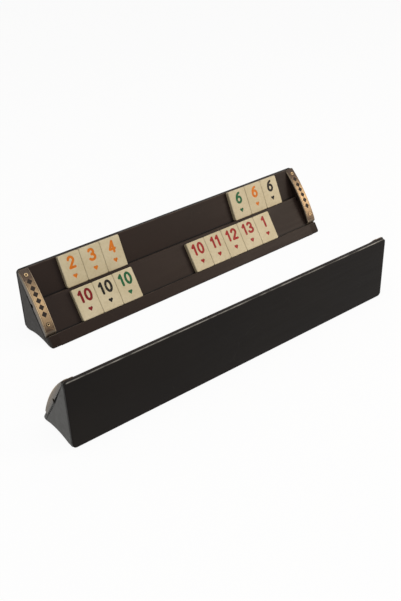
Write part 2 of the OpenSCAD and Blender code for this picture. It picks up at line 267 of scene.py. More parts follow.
def scratches(tree, where, scale, width):
    """1 on thin wandering lines: where a warped noise passes its middle value, in patches."""
    line = math(tree, "ABSOLUTE", math(tree, "SUBTRACT", noise(tree, where, scale, 1.0, 1.6), 0.5))
    patch = spread(tree, noise(tree, where, scale * 0.7, 1.0), 0.54, 0.62)
    return math(tree, "MULTIPLY", spread(tree, line, width, width * 0.3), patch)


def near_edges(tree, where, edges, reach):
    """1 close to any of the rack's long edges, given as places of depth and height in mm."""
    section = add(tree, "Mapping", {}, where)
    section.inputs["Scale"].default_value = (0, 1, 1)
    nearest = None
    for depth, height in edges:
        gap = add(tree, "VectorMath", {"operation": "DISTANCE"}, section.outputs[0],
                  (0, depth * MM, height * MM)).outputs["Value"]
        nearest = gap if nearest is None else math(tree, "MINIMUM", nearest, gap)
    return spread(tree, nearest, reach[1] * MM, reach[0] * MM)


def moulded_plastic(name, rack, colours, edges, rough, grain, gloss=0.15, creases=(),
                    wear=1.0):
    """Satin plastic: cloudy colour, streaks of flow, a fine mould grain, scratches, and edges made
    paler, as wear on mouldings and caps and as a painted highlight on the back panels; painted
    shade in any creases given.

    Returns the node tree, the shader, the finish, the rack's own coordinates and the colour so far.
    """
    tree, shader, finish = new_finish(name, IOR=1.49, Specular_IOR_Level=gloss)
    where = on_rack(tree, rack)
    cloud = noise(tree, where, 11, 3.0)
    flow = noise(tree, along_rows(tree, where, 14), 260, 2.0)
    fine = noise(tree, where, 2600, 1.0)
    marks = scratches(tree, where, 34, 0.006)
    dust = spread(tree, noise(tree, where, 900, 1.0), 0.70, 0.76)
    # paler near the given edges: wear on mouldings and caps, a painted highlight on the back panels
    rubbed = math(tree, "MULTIPLY", near_edges(tree, where, edges, EDGE_WEAR),
                  spread(tree, noise(tree, where, 60, 3.0), 0.35, 0.65, 0.1, 0.6))
    colour = mix(tree, spread(tree, cloud, 0.3, 0.7), srgb(*colours[0]), srgb(*colours[1]))
    pale = srgb(*colours[2])
    colour = mix(tree, math(tree, "MULTIPLY", marks, SCRATCH_PALE * wear), colour, pale)
    colour = mix(tree, math(tree, "MULTIPLY", dust, DUST_PALE * wear), colour, pale)
    colour = mix(tree, rubbed, colour, pale)
    # painted shade: darker within a couple of millimetres of the creases at the tiers' feet
    if creases:
        colour = mix(tree, near_edges(tree, where, creases, CREASE_GRIME), colour, srgb(*GRIME))
    worn = math(tree, "MULTIPLY", marks, SCRATCH_ROUGH * wear)
    roughness = math(tree, "ADD", spread(tree, flow, 0.3, 0.7, rough - 0.04, rough + 0.04), worn)
    roughness = math(tree, "SUBTRACT", roughness, math(tree, "MULTIPLY", rubbed, 0.1))
    tree.links.new(roughness, shader.inputs["Roughness"])
    bump = relief(tree, fine, grain * MM)
    bump = relief(tree, flow, STREAK_RELIEF * MM, bump)
    bump = relief(tree, math(tree, "SUBTRACT", 1.0, marks), STREAK_RELIEF * wear * MM, bump)
    tree.links.new(bump, shader.inputs["Normal"])
    tree.links.new(colour, shader.inputs["Base Color"])
    return tree, shader, finish, where, colour


def dress(node, finish):
    """Gives a carried-over solid its finish."""
    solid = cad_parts[node]
    solid.data.materials.clear()
    solid.data.materials.append(finish)


for rack in RACKS:
    finish = moulded_plastic("espresso_moulding_" + rack, rack, ESPRESSO, RACK_EDGES, 0.42, 0.03,
                             0.13, RACK_CREASES)[2]
    dress(rack + "_shell", finish)

# Back panels: flat boards of black satin plastic that close the mouldings, with rounded corners
# and a rounded edge all round, with a painted highlight along the top edge.
PANEL_BLACK = ((24, 20, 17), (20, 17, 15), (186, 182, 174))
# the back's top edge, along which a painted highlight runs
PANEL_EDGES = ((54.95, 69.8),)
RACK_HALF, RACK_TOP = 192.0, 70.0194
PANEL_FRONT, PANEL_BACK, PANEL_FOOT = 52.4146, 55.0146, 0.5
PANEL_CORNER, PANEL_RIM, PANEL_STEP = 4.0, 0.8, 1.2
SHARP_ANGLE = 40


def slab(across, up, thickness, corner, rim, step, back=0.0):
    """Closed slab with rounded corners, a rounded rim round its face and a chamfered back.

    The face is a grid whose corner squares are turned into quarter discs: there a point keeps
    its larger offset as its distance from the corner's centre. Copies of the face's outline step
    outwards and down a quarter circle, down the side and in over the chamfer, and a fan closes
    the back. Returns points from the middle of the face, the faces, and the outline's distance.
    """
    a, b, c = across / 2 - rim, up / 2 - rim, corner - rim
    columns, rows = round(2 * a / step), round(2 * b / step)
    u, v = np.meshgrid(np.linspace(-a, a, columns + 1), np.linspace(-b, b, rows + 1))
    q, p = np.maximum(abs(u) - (a - c), 0), np.maximum(abs(v) - (b - c), 0)
    size = np.hypot(q, p)
    shrink = np.where(size > 0, np.maximum(q, p) / np.where(size > 0, size, 1), 1)
    q, p = q * shrink, p * shrink
    x = np.sign(u) * (np.minimum(abs(u), a - c) + q)
    y = np.sign(v) * (np.minimum(abs(v), b - c) + p)
    face = np.stack([x, y, np.zeros_like(x)], -1).reshape(-1, 3)
    index = np.arange(face.shape[0]).reshape(rows + 1, columns + 1)
    outline = np.concatenate([index[0, :-1], index[:-1, -1], index[-1, :0:-1], index[:0:-1, 0]])
    normal = np.stack([np.sign(u) * q, np.sign(v) * p], -1).reshape(-1, 2)[outline] / c
    turn = np.radians(np.linspace(15, 90, 6))
    offsets = np.concatenate([rim * np.sin(turn), [rim, rim, rim - back]])
    drops = np.concatenate([rim * (1 - np.cos(turn)), [
        rim + 0.1 * (thickness - rim), thickness - back - 0.02, thickness]])
    loops = [np.concatenate([face[outline, :2] + o * normal, np.full((len(outline), 1), -d)], 1)
             for o, d in zip(offsets, drops)]
    points = np.concatenate([face, *loops, [[0, 0, -thickness]]])
    quads = [np.stack([index[:-1, :-1], index[:-1, 1:], index[1:, 1:], index[1:, :-1]], -1)
             .reshape(-1, 4)]
    upper = outline
    for k in range(len(loops)):
        lower = len(face) + k * len(outline) + np.arange(len(outline))
        quads.append(np.stack([upper, lower, np.roll(lower, -1), np.roll(upper, -1)], 1))
        upper = lower
    fan = np.stack([np.roll(upper, -1), upper, np.full(len(upper), len(points) - 1)], 1)
    rim_gap = np.minimum(across / 2 - abs(points[:, 0]), up / 2 - abs(points[:, 1]))
    return points, [np.concatenate(quads), fan], rim_gap


def stand_on_rack(points, rack):
    """Rack's own millimetres to metres in the pair's frame: turned, then moved."""
    x, y, turn = RACKS[rack]
    c, s = np.cos(np.radians(turn)), np.sin(np.radians(turn))
    points = points.reshape(-1, 3)
    return MM * np.stack([x + c * points[:, 0] - s * points[:, 1],
                          y + s * points[:, 0] + c * points[:, 1], points[:, 2]], 1)


def facing_out(points, faces):
    """The faces, all turned over if the volume inside them comes out below nothing."""
    points = points.reshape(-1, 3)
    volume = 0.0
    for group in faces:
        corners = points[group]
        for k in range(1, group.shape[1] - 1):
            volume += (corners[:, 0] * np.cross(corners[:, k], corners[:, k + 1])).sum()
    return faces if volume > 0 else [group[:, ::-1] for group in faces]


def new_piece(name, points, faces, finish, body, slot, nodes, **marks):
    """Makes a smooth piece from points in metres, with its marks as attributes of the points."""
    faces = facing_out(points, faces)
    mesh = bpy.data.meshes.new(name)
    mesh.vertices.add(len(points))
    mesh.vertices.foreach_set("co", np.ascontiguousarray(points, np.float32).ravel())
    corners = np.concatenate([face.ravel() for face in faces])
    sizes = np.concatenate([np.full(len(face), face.shape[1]) for face in faces])
    mesh.loops.add(len(corners))
    mesh.loops.foreach_set("vertex_index", corners.astype(np.int32))
    mesh.polygons.add(len(sizes))
    mesh.polygons.foreach_set(
        "loop_start", np.concatenate([[0], np.cumsum(sizes)[:-1]]).astype(np.int32))
    mesh.polygons.foreach_set("use_smooth", np.ones(len(sizes), bool))
    mesh.update(calc_edges=True)
    mesh.set_sharp_from_angle(angle=np.radians(SHARP_ANGLE))
    for mark_name, values in marks.items():
        kind = "FLOAT_VECTOR" if np.ndim(values) == 2 else "FLOAT"
        layer = mesh.attributes.new(mark_name, kind, "POINT")
        layer.data.foreach_set(
            "vector" if np.ndim(values) == 2 else "value",
            np.ascontiguousarray(values, np.float32).ravel())
    mesh.materials.append(finish)
    piece = bpy.data.objects.new(name, mesh)
    bpy.context.scene.collection.objects.link(piece)
    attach(piece, body)
    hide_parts(*nodes)
    return piece


board, board_faces = slab(
    2 * RACK_HALF, RACK_TOP - PANEL_FOOT, PANEL_BACK - PANEL_FRONT, PANEL_CORNER, PANEL_RIM,
    PANEL_STEP)[:2]
board = np.stack([-board[:, 0], PANEL_BACK + board[:, 2],
                  (RACK_TOP + PANEL_FOOT) / 2 + board[:, 1]], 1)
for rack in RACKS:
    finish = moulded_plastic(
        "black_panel_" + rack, rack, PANEL_BLACK, PANEL_EDGES, 0.46, 0.02, 0.09, wear=0.12)[2]
    new_piece("back_board_" + rack, stand_on_rack(board, rack), board_faces, finish, rack,
              "black_plastic", [rack + "_back_panel"])

# End caps: full-section mouldings that close a rack's ends and carry the cheeks; dark plastic
# whose rounded outer plate carries a painted grey sheen, darker on rack 1 as painted shade, with
# painted shade inside the release bore, and whose cheek shows black beside the tiles.
CAP_DARK = ((41, 31, 26), (35, 27, 23), (104, 96, 88))
# painted sheen on the outer plates, one pair of greys per rack; rack 1's darker greys are painted
# shade
CAP_GREY = {"rack_1": ((62, 59, 56), (54, 51, 48)), "rack_2": ((76, 75, 72), (66, 65, 62))}
CAP_GLOSS = {"rack_1": 0.08, "rack_2": 0.14}
CAP_EDGES = ((7.18, 11.7),)
SCUFFED = (2.4, 0.5)
ENDS = (("left", -1), ("right", 1))
END_WIDTH = 12.0
NOSE, LIP_EDGE = np.array([-1.0131, 0.0]), np.array([7.1793, 11.7])
LOWER_FOOT, UPPER_EDGE = np.array([10.6198, 9.2910]), np.array([50.8146, 70.0194])
TIER_SLOPE, BLUNT_SLOPE = 55.0, 115.0
ARCH_FEET, ARCH_RISE = (46.4146, 7.1), 2.5
# how far the outer face is drawn in at the base, lip, ledge, chord, step, top and back, and the
# rounding of the corner at which each of these sides begins
CAP_INSETS = np.array([2.8, 3.1, 0.8, 0.06, 0.3, 1.8, 0.5])
CAP_FILLETS = np.array([0.4, 1.4, 0.6, 0.25, 0.15, 0.3, 0.5])
CAP_ROUND, CAP_ROUND_STEPS, CAP_FACE, EDGE_ROW = 3.0, 11, 1.12, 0.3
RELEASE_RADIUS, RELEASE_DARK = 2.3, (9, 8, 7)
BLUNT_HEIGHT, TOP_RISE, CHEEK_SUNK = 6.1, 0.8, 0.5
ARC_RADIUS, STRIP_THICKNESS, COVER_THICKNESS, FIT_GAP = 170.0, 0.6, 1.2, 0.1


def heading(angle):
    """Direction of the given slope, as depth and height."""
    return np.array([np.cos(np.radians(angle)), np.sin(np.radians(angle))])


arc_foot = LOWER_FOOT + BLUNT_HEIGHT * heading(BLUNT_SLOPE)
arc_top = UPPER_EDGE + [0, TOP_RISE]
chord = arc_top - arc_foot
reach = np.hypot(*chord)
arc_centre = (arc_foot + arc_top) / 2 - np.sqrt(ARC_RADIUS ** 2 - reach ** 2 / 4) * np.array(
    [-chord[1], chord[0]]) / reach
step_depth = UPPER_EDGE[0] + FIT_GAP
chord_top = LOWER_FOOT + (step_depth - LOWER_FOOT[0]) / heading(TIER_SLOPE)[0] * heading(TIER_SLOPE)
release_middle = LOWER_FOOT + (UPPER_EDGE[0] - LOWER_FOOT[0]) / heading(
    TIER_SLOPE)[0] / 2 * heading(TIER_SLOPE)
cap_corners = np.array([[PANEL_FRONT, 0], NOSE, LIP_EDGE, LOWER_FOOT, chord_top,
                        [step_depth, RACK_TOP], [PANEL_FRONT, RACK_TOP]])


def cap_outline(share):
    """Outline of an end cap's plate, drawn in by a share of each side's own inset.

    Each corner is where its two moved sides meet, rounded by a short arc. The base follows a
    shallow arch between its feet, and the chord under the cover's flange a half round bore.
    """
    ahead = np.roll(cap_corners, -1, 0) - cap_corners
    ahead = ahead / np.hypot(*ahead.T)[:, None]
    inward = np.stack([ahead[:, 1], -ahead[:, 0]], 1)
    before = np.roll(inward, 1, 0)
    sides = np.stack([before, inward], 1)
    offsets = np.stack([
        (before * cap_corners).sum(1) + np.roll(CAP_INSETS, 1) * share,
        (inward * cap_corners).sum(1) + CAP_INSETS * share], 1)
    moved = np.linalg.solve(sides, offsets[..., None])[..., 0]
    back, out = -np.roll(ahead, 1, 0), ahead
    half = np.arccos((back * out).sum(1)) / 2
    towards = (back + out) / np.hypot(*(back + out).T)[:, None]
    middle = moved + (CAP_FILLETS / np.sin(half))[:, None] * towards
    run = (CAP_FILLETS / np.tan(half))[:, None]
    mixed = np.linspace(0, 1, 6)[None, :, None]
    arcs = (moved + run * back - middle)[:, None] * (1 - mixed) + (
        moved + run * out - middle)[:, None] * mixed
    arcs = middle[:, None] + CAP_FILLETS[:, None, None] * arcs / np.linalg.norm(
        arcs, axis=2, keepdims=True)
    y = np.linspace(*ARCH_FEET, 13)
    span = ARCH_FEET[0] - ARCH_FEET[1]
    radius = span ** 2 / (8 * ARCH_RISE) + ARCH_RISE / 2
    base = np.sqrt(radius ** 2 - (y - sum(ARCH_FEET) / 2) ** 2) - radius + ARCH_RISE
    base = np.stack([y, base + CAP_INSETS[0] * share], 1)
    turn = np.linspace(np.pi, 0, 15)
    deep = np.maximum(RELEASE_RADIUS * np.sin(turn), CAP_INSETS[3] * share)
    bore = release_middle + RELEASE_RADIUS * np.cos(turn)[:, None] * ahead[3] + (
        deep[:, None] * inward[3])
    return np.concatenate([arcs[0], base, arcs[1], arcs[2], arcs[3], bore, *arcs[4:]])


def blunt_top(start, radius):
    """Where the blunt end's line through the start meets the cheek's arch of the given radius.

    It is the start plus the positive root of the circle's equation, a step along the line.
    """
    w, b = start - arc_centre, heading(BLUNT_SLOPE)
    return start + (np.sqrt((w @ b) ** 2 - w @ w + radius ** 2) - w @ b) * b


def wall_faces(rows, columns):
    """Faces between the rows of a grid whose columns close into a ring."""
    i, j = np.meshgrid(np.arange(rows - 1), np.arange(columns), indexing="ij")
    k = (j + 1) % columns
    return np.stack([i * columns + j, i * columns + k, (i + 1) * columns + k,
                     (i + 1) * columns + j], -1).reshape(-1, 4)


def closed_loft(rows):
    """Points and faces of a loft through outlines of equal length, its two ends left flat."""
    count, columns = len(rows), len(rows[0])
    ends = np.stack([np.arange(columns)[::-1], (count - 1) * columns + np.arange(columns)])
    points = np.concatenate(rows)
    return points, facing_out(points, [wall_faces(count, columns), ends])


def at_inset(inset, outline):
    """An outline of depth and height, stood at an inset from a rack's end."""
    return np.concatenate([np.full((len(outline), 1), inset), outline], 1)


turns = np.radians(np.linspace(0, 90, CAP_ROUND_STEPS))
plate = [at_inset(x, cap_outline(0))
         for x in (END_WIDTH, END_WIDTH - EDGE_ROW, CAP_ROUND + EDGE_ROW)]
plate += [at_inset(CAP_ROUND * (1 - np.sin(t)), cap_outline(1 - np.cos(t))) for t in turns]
plate += [at_inset(0, cap_outline(CAP_FACE))]
plate, plate_faces = closed_loft(plate)
block_radius = ARC_RADIUS - STRIP_THICKNESS - COVER_THICKNESS - FIT_GAP
start = LOWER_FOOT + (COVER_THICKNESS + FIT_GAP) / np.sin(
    np.radians(BLUNT_SLOPE - TIER_SLOPE)) * heading(TIER_SLOPE)
bend = blunt_top(start, block_radius)
turns = np.linspace(np.arctan2(*(bend - arc_centre)[::-1]),
                    np.arccos((step_depth - arc_centre[0]) / block_radius), 40)
sunk = CHEEK_SUNK * np.array([heading(TIER_SLOPE)[1], -heading(TIER_SLOPE)[0]])
block = np.concatenate([
    [start + sunk], arc_centre + block_radius * np.stack([np.cos(turns), np.sin(turns)], 1),
    [chord_top + sunk]])
block, block_faces = closed_loft(
    [at_inset(END_WIDTH, block), at_inset(COVER_THICKNESS + FIT_GAP, block)])
cap = np.concatenate([plate, block])
cap_faces = plate_faces + [group + len(plate) for group in block_faces]

for rack in RACKS:
    tree, shader, finish, where, colour = moulded_plastic(
        "grey_cap_" + rack, rack, CAP_DARK, CAP_EDGES, 0.45, 0.03, CAP_GLOSS[rack])
    parts = add(tree, "SeparateXYZ", {}, where)
    inset = math(tree, "SUBTRACT", RACK_HALF * MM, math(tree, "ABSOLUTE", parts.outputs[0]))
    # painted sheen: the outer plate is mixed to grey within about two millimetres of the end face
    outer = spread(tree, inset, SCUFFED[0] * MM, SCUFFED[1] * MM)
    scuff = noise(tree, where, 120, 4.0)
    grey = mix(tree, scuff, srgb(*CAP_GREY[rack][0]), srgb(*CAP_GREY[rack][1]))
    # painted shade: near-black inside the half-round release bore, back from the end face
    bore = math(tree, "MULTIPLY", spread(tree, inset, 0.15 * MM, 0.5 * MM), near_edges(
        tree, where, (tuple(release_middle),), (RELEASE_RADIUS, RELEASE_RADIUS + 0.4)))
    colour = mix(tree, bore, mix(tree, outer, colour, grey), srgb(*RELEASE_DARK))
    tree.links.new(colour, shader.inputs["Base Color"])
    for end, side in ENDS:
        points = np.concatenate([side * (RACK_HALF - cap[:, :1]), cap[:, 1:]], 1)
        new_piece(
            "end_cap_" + rack + "_" + end, stand_on_rack(points, rack), cap_faces, finish,
            rack, "grey_plastic", [rack + "_end_cap_" + end])

# Cheek covers: bent bronze-coloured sheet that clips over each cheek, an arched band with a blunt
# lower end and a flange down the outer side, half a release hole cut in the flange's edge.
CHORD_GAP, SEAM = 0.1, 0.12
BAND_EDGE, FLANGE_EDGE, KNEE_RADIUS, INNER_KNEE = 0.35, 0.7, 1.6, 0.2
STATIONS = 300
EDGE_COLUMNS, BAND_COLUMNS, KNEE_COLUMNS = 5, 6, 7
FLANGE_COLUMNS = np.array([0.03, 0.2, 0.4, 0.6, 0.8, 0.95, 1.0])
FLANGE_RUB = 0.8
BRONZE = ((96, 85, 73), (82, 72, 62), (152, 136, 114))
DULLED, SOOT = (74, 74, 72), (40, 33, 28)
# share of the greying and of the darkening at the top end at their strongest, and the distances
# at which each has gone and has faded over
FLANGE_DULLED, DULLED_UP, DULLED_INWARD = 0.7, (5, 4), (0.8, 0.6)
TOP_SOOT, SOOT_DOWN = 0.85, (4, 3)


def spaced(points, count):
    """Points at even distances along a broken line."""
    steps = np.hypot(*np.diff(points, axis=0).T)
    run = np.concatenate([[0], np.cumsum(steps)])
    wanted = np.linspace(0, run[-1], count)
    return np.stack([np.interp(wanted, run, points[:, k]) for k in (0, 1)], 1)


def cover_path(count):
    """Outer line of the band and, for each of its points, where the flange's edge lies below it.

    The line runs up the blunt end, round a knee, and along the arc to the upright end. The
    flange's edge is the straight chord with a half circle raised in its middle.
    """
    radius = ARC_RADIUS - STRIP_THICKNESS
    start = LOWER_FOOT + CHORD_GAP / np.sin(np.radians(BLUNT_SLOPE - TIER_SLOPE)) * heading(
        BLUNT_SLOPE)
    b = heading(BLUNT_SLOPE)
    bend = blunt_top(start, radius)
    first = np.arctan2(*(bend - arc_centre)[::-1])
    last = np.arccos((UPPER_EDGE[0] - arc_centre[0]) / radius)
    turning = np.linspace(first, last, 400)
    arc = arc_centre + radius * np.stack([np.cos(turning), np.sin(turning)], 1)
    after = (arc[1] - arc[0]) / np.hypot(*(arc[1] - arc[0]))
    half = np.arccos(-b @ after) / 2
    away = KNEE_RADIUS / np.tan(half)
    middle = bend + KNEE_RADIUS / np.sin(half) * (after - b) / np.hypot(*(after - b))
    out_b = bend - away * b - middle
    out_a = bend + away * after - middle
    share = np.linspace(0, 1, 12)[:, None]
    knee = out_b * (1 - share) + out_a * share
    knee = middle + KNEE_RADIUS * knee / np.hypot(*knee.T)[:, None]
    beyond = arc[np.hypot(*(arc - bend).T) > away + 0.05]
    line = spaced(np.concatenate([[start], knee, beyond]), count)
    run = np.concatenate([[0], np.cumsum(np.hypot(*np.diff(line, axis=0).T))])
    slope = heading(TIER_SLOPE)
    top = start + (UPPER_EDGE[0] - start[0]) / slope[0] * slope
    hole = start + (release_middle - start) @ slope * slope
    bow = np.linspace(np.pi, 0, 40)
    bow = hole + RELEASE_RADIUS * (
        np.cos(bow)[:, None] * slope + np.sin(bow)[:, None] * np.array([-slope[1], slope[0]]))
    edge = np.concatenate([[start], bow, [top]])
    steps = np.concatenate([[0], np.cumsum(np.hypot(*np.diff(edge, axis=0).T))])
    blunt_row = np.argmax(np.hypot(*(line - bend).T) < away)
    share = np.interp(run, [0, run[blunt_row], run[-1]], [0, 0.04, 1]) * steps[-1]
    edge = np.stack([np.interp(share, steps, edge[:, k]) for k in (0, 1)], 1)
    lift = np.minimum(1, run / run[blunt_row])[:, None] * SEAM
    return line, edge + lift * np.array([-slope[1], slope[0]]), run


def inward_offsets(line, run):
    """Steps from the band's line to a parallel one a unit inside it.

    They stand square to the line, except at its ends, where they turn smoothly until they lie
    along the tier and along the upright end.
    """
    ahead = np.gradient(line, axis=0)
    ahead = ahead / np.hypot(*ahead.T)[:, None]
    square = np.stack([ahead[:, 1], -ahead[:, 0]], 1)
    foot = heading(TIER_SLOPE) / np.sin(np.radians(BLUNT_SLOPE - TIER_SLOPE))
    top = np.array([0, -1]) / abs(square[-1, 1])
    at_foot = np.clip(1 - run / 2.0, 0, 1)[:, None]
    at_top = np.clip(1 - (run[-1] - run) / 3.0, 0, 1)[:, None]
    return square * (1 - at_foot - at_top) + foot * at_foot + top * at_top


def cover_grid(count):
    """Closed grid of the cover, its columns once round the sheet and its rows along the band.

    Columns of the outer side run from the band's inner edge over the band, round the outer knee
    and down the flange; the sheet's inner side comes back the same way a thickness inside.
    """
    line, edge, run = cover_path(count)
    inward = inward_offsets(line, run)
    t = COVER_THICKNESS
    q = np.radians(np.linspace(0, 90, EDGE_COLUMNS))
    knee = np.radians(np.linspace(0, 90, KNEE_COLUMNS))
    band = np.linspace(END_WIDTH - BAND_EDGE, FLANGE_EDGE, BAND_COLUMNS + 2)
    outer_x = np.concatenate([
        END_WIDTH - BAND_EDGE + BAND_EDGE * np.cos(q), band[1:-1],
        FLANGE_EDGE - FLANGE_EDGE * np.sin(knee)])
    outer_d = np.concatenate([
        BAND_EDGE - BAND_EDGE * np.sin(q), np.zeros(BAND_COLUMNS),
        FLANGE_EDGE - FLANGE_EDGE * np.cos(knee)])
    inner_x = np.concatenate([
        np.linspace(END_WIDTH, END_WIDTH - BAND_EDGE, EDGE_COLUMNS),
        np.linspace(END_WIDTH - BAND_EDGE, t + INNER_KNEE, BAND_COLUMNS + 2)[1:-1],
        t + INNER_KNEE - INNER_KNEE * np.sin(knee)])
    inner_d = np.concatenate([
        np.full(EDGE_COLUMNS + BAND_COLUMNS, t), t + INNER_KNEE - INNER_KNEE * np.cos(knee)])
    rows = []
    for x, d, face in ((outer_x, outer_d, 0.0), (inner_x, inner_d, t)):
        sheet = line[:, None, :] + d[None, :, None] * inward[:, None, :]
        root = sheet[:, -1:, :]
        skirt = root + FLANGE_COLUMNS[None, :, None] * (edge[:, None, :] - root)
        sheet = np.concatenate([sheet, skirt], 1)
        across = np.concatenate([x, np.full(len(FLANGE_COLUMNS), face)])
        across = np.broadcast_to(across[None, :, None], (*sheet.shape[:2], 1))
        rows.append(np.concatenate([across, sheet], 2))
    grid = np.concatenate([rows[0], rows[1][:, ::-1]], 1)
    travel = np.broadcast_to(run[:, None], grid.shape[:2])
    return grid, travel


def ring_faces(rows, columns):
    """Faces of a grid closed round its columns, with both ends closed across the sheet."""
    a = np.arange(columns // 2 - 1)
    b = columns - 1 - a
    first = np.stack([a, b, b - 1, a + 1], 1)
    last = (rows - 1) * columns + np.stack([a + 1, b - 1, b, a], 1)
    return np.concatenate([wall_faces(rows, columns), first, last])


def mark(tree, name):
    """Value of a mark kept on the piece's points."""
    made = tree.nodes.new("ShaderNodeAttribute")
    made.attribute_name = name
    return made


def brushing(tree, stretch, scale):
    """Noise drawn out along the band, read at the places kept on the piece's points."""
    made = add(tree, "Mapping", {}, mark(tree, "lie").outputs["Vector"])
    made.inputs["Scale"].default_value = (1, stretch, 1)
    return noise(tree, made.outputs[0], scale, 2.0)


def bronze_finish():
    """Bronze lacquer on sheet: brushed along the band, paler on edges, knees and flange as wear and
    painted highlight, with fine marks.
    """
    tree, shader, finish = new_finish("bronze_cover", Metallic=0.3, IOR=1.5, Specular_IOR_Level=0.3)
    where = on_object(tree)
    brush = brushing(tree, 0.03, 3200)
    cloud = noise(tree, where, 70, 4.0)
    marks = scratches(tree, where, 60, 0.008)
    # wear and painted highlight: paler on the band's inner edge, the knee and the flange
    rub = mark(tree, "rub").outputs["Fac"]
    rubbed = math(tree, "MULTIPLY", rub,
                  spread(tree, noise(tree, where, 160, 3.0), 0.3, 0.7, 0.4, 1))
    colour = mix(tree, spread(tree, cloud, 0.3, 0.7), srgb(*BRONZE[0]), srgb(*BRONZE[1]))
    colour = mix(tree, math(tree, "MULTIPLY", spread(tree, brush, 0.3, 0.7), 0.18), colour,
                 srgb(*BRONZE[2]))
    colour = mix(tree, math(tree, "MAXIMUM", math(tree, "MULTIPLY", marks, 0.4),
                            math(tree, "MULTIPLY", rubbed, 0.7)), colour, srgb(*BRONZE[2]))
    colour = mix(tree, mark(tree, "dulled").outputs["Fac"], colour, srgb(*DULLED))
    colour = mix(tree, mark(tree, "soot").outputs["Fac"], colour, srgb(*SOOT))
    tree.links.new(colour, shader.inputs["Base Color"])
    tree.links.new(math(tree, "ADD", spread(tree, brush, 0.3, 0.7, 0.36, 0.46),
                        math(tree, "MULTIPLY", marks, 0.1)), shader.inputs["Roughness"])
    bump = relief(tree, brush, 0.006 * MM)
    tree.links.new(relief(tree, cloud, 0.02 * MM, bump), shader.inputs["Normal"])
    return finish


def fade(value, gone, over):
    """1 for small values, falling evenly to 0 over a stretch that ends where it has gone."""
    return np.clip((gone - value) / over, 0, 1)


grid, travel = cover_grid(STATIONS)
bronze = bronze_finish()
knee_start = EDGE_COLUMNS + BAND_COLUMNS
flange_start = knee_start + KNEE_COLUMNS
flange_end = grid.shape[1] // 2 - 1
# wear and painted highlight: paler along the band's inner edge, round the knee and at the flange's
# edge, and a little less over the rest of the flange
rubbed_columns = np.zeros(grid.shape[1])
rubbed_columns[:EDGE_COLUMNS] = rubbed_columns[knee_start:flange_start] = 1
rubbed_columns[flange_start:flange_end] = FLANGE_RUB
rubbed_columns[flange_end] = 1
rub = np.broadcast_to(rubbed_columns, grid.shape[:2]).copy()
lie = np.stack([grid[..., 0] * MM, travel * MM, grid[..., 2] * MM], -1)
above = (grid[..., 1:] - LOWER_FOOT) @ np.array([-heading(TIER_SLOPE)[1], heading(TIER_SLOPE)[0]])
dulled = FLANGE_DULLED * fade(above, *DULLED_UP) * fade(grid[..., 0], *DULLED_INWARD)
# darker towards the top end of the cover
soot = TOP_SOOT * fade(travel[-1:] - travel, *SOOT_DOWN)
for rack in RACKS:
    for end, side in ENDS:
        points = grid.copy()
        points[..., 0] = side * (RACK_HALF - grid[..., 0])
        new_piece(
            "bronze_cover_" + rack + "_" + end, stand_on_rack(points, rack),
            [ring_faces(*grid.shape[:2])], bronze, rack, "bronze_cover",
            [rack + "_cheek_cover_" + end],
            lie=lie.reshape(-1, 3), rub=rub.ravel(), dulled=dulled.ravel(), soot=soot.ravel())

# Name strips: thin brass-coloured strips riveted along the covers' arches, brighter in the middle
# and darker towards both ends, each with six small dark lozenges pressed between the eyelets, a
# painted highlight along the rim and painted shade round the eyelets and down their wells.
STRIP_MARGIN, STRIP_FOOT_MARGIN = 0.7, 1.4
EYELET_INSET, EYELET_RADIUS, EYELET_FLANGE, EYELET_BORE = 7.0, 2.3, 0.5, 0.9
EYELET_BARREL, EYELET_DEPTH = 1.3, 3.7
STRIP_STEP, STRIP_RIM, STRIP_CORNER = 0.25, 0.2, 1.5
LOZENGES = (0.14, 0.28, 0.40, 0.53, 0.66, 0.80)
LOZENGE_HALF = (3.1, 3.4)
PRESSED, PRESS_RAMP, WELL, WELL_RADIUS, WELL_RAMP = 0.09, 0.3, 0.5, 1.45, 0.3
BORDER_MIDDLE, BORDER_HALF, BORDER_RAMP, BORDER_STOP = 4.55, 0.16, 0.2, 1.0
WELL_INK, SHADE_HALF = 1.35, 0.25
TONE_MIDDLE, TONE_REACH, TONE_MOST, TONE_CURVE = -0.08, 0.42, 1.2, 1.4
STRIP_SOOT, STRIP_SOOT_DOWN = 0.6, (10, 7)
# middle, ends, dark fill of the marks and of the painted shade, and the painted highlight on the
# rim
BRASS = ((182, 154, 116), (76, 59, 45), (34, 25, 19), (226, 200, 160))


def on_arc(points, first, length):
    """Bends a slab over the cheek's arch: its height becomes a turn about the arc's centre."""
    angle = first - (points[:, 1] + length / 2) / ARC_RADIUS
    radius = ARC_RADIUS + points[:, 2]
    return np.stack([points[:, 0], arc_centre[0] + radius * np.cos(angle),
                     arc_centre[1] + radius * np.sin(angle)], 1)


